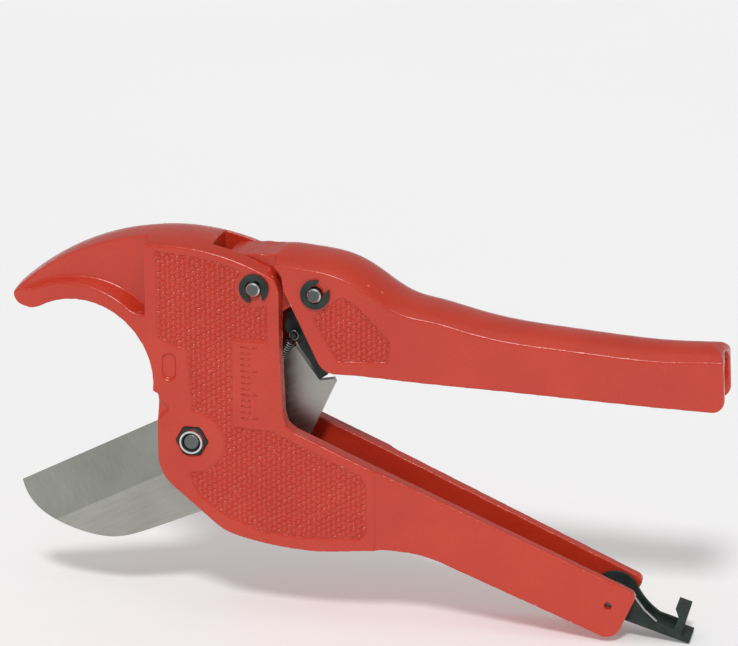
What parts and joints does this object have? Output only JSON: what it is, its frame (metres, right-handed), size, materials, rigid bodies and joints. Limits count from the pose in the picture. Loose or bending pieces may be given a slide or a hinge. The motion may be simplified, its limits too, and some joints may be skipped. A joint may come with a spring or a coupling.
{
  "type": "pvc pipe cutter",
  "caption": "Ratchet cutter for plastic pipe with a round hook jaw, a pivoting pointed blade, two channel-section handles, a spring-loaded pawl and a closing latch.",
  "frame": {"origin": "centre of the hook's round pipe seat, on the tool's mid-plane", "axes": "+X towards the handles' ends, +Z from the blade to the hook's back, +Y out of the rear cheek (the nut and clips are at -Y)"},
  "size_m": [0.2061, 0.0312, 0.1121],
  "materials": {
    "red_paint": "red paint on cast alloy, satin with pebble-textured panels",
    "blade_steel": "ground and finely brushed grey steel",
    "zinc": "bright zinc plating",
    "dark_nylon": "dark locking insert",
    "pin_steel": "bright turned steel",
    "dark_steel": "black oxide finish, satin",
    "spring_steel": "spring wire, dull"
  },
  "bodies": {
    "body": {"body_casting": "red_paint", "blade_bolt": "zinc", "bolt_washer": "zinc", "blade_washers": "zinc", "blade_nut": "zinc", "nut_insert": "dark_nylon", "handle_pin": "pin_steel", "handle_pin_clip": "dark_steel", "spring_anchor_pin": "pin_steel", "pawl_spring": "spring_steel", "handle_spring": "spring_steel", "latch_pin": "pin_steel"},
    "upper_handle": {"upper_handle": "red_paint", "pawl_pin": "pin_steel", "pawl_pin_clip": "dark_steel", "pawl_spacers": "dark_steel"},
    "blade": {"blade": "blade_steel"},
    "pawl": {"pawl": "dark_steel"},
    "latch": {"latch": "dark_steel", "latch_spring": "spring_steel"}
  },
  "joints": [
    {"name": "handle_pivot", "type": "hinge", "parent": "body", "child": "upper_handle", "pos_m": [0.0528, 0, 0.0299], "axis": [0, 1, 0], "range_deg": [0, 25], "stiffness_Nm_per_rad": 0.8, "springref_deg": -20.05, "deforming": ["pawl_spring"]},
    {"name": "blade_pivot", "type": "hinge", "parent": "body", "child": "blade", "pos_m": [0.0341, 0, -0.0166], "axis": [0, 1, 0], "range_deg": [0, 72.5]},
    {"name": "pawl_pivot", "type": "hinge", "parent": "upper_handle", "child": "pawl", "pos_m": [0.0703, 0, 0.0291], "axis": [0, 1, 0], "range_deg": [-45, 0]},
    {"name": "latch_pivot", "type": "hinge", "parent": "body", "child": "latch", "pos_m": [0.1541, 0, -0.0584], "axis": [0, 1, 0], "range_deg": [-50, 0], "stiffness_Nm_per_rad": 0.01, "springref_deg": 17.19}
  ],
  "couplings": [
    {"joint": "blade_pivot", "follows": "handle_pivot", "ratio": 2.9},
    {"joint": "pawl_pivot", "follows": "handle_pivot", "ratio": -1.8}
  ]
}
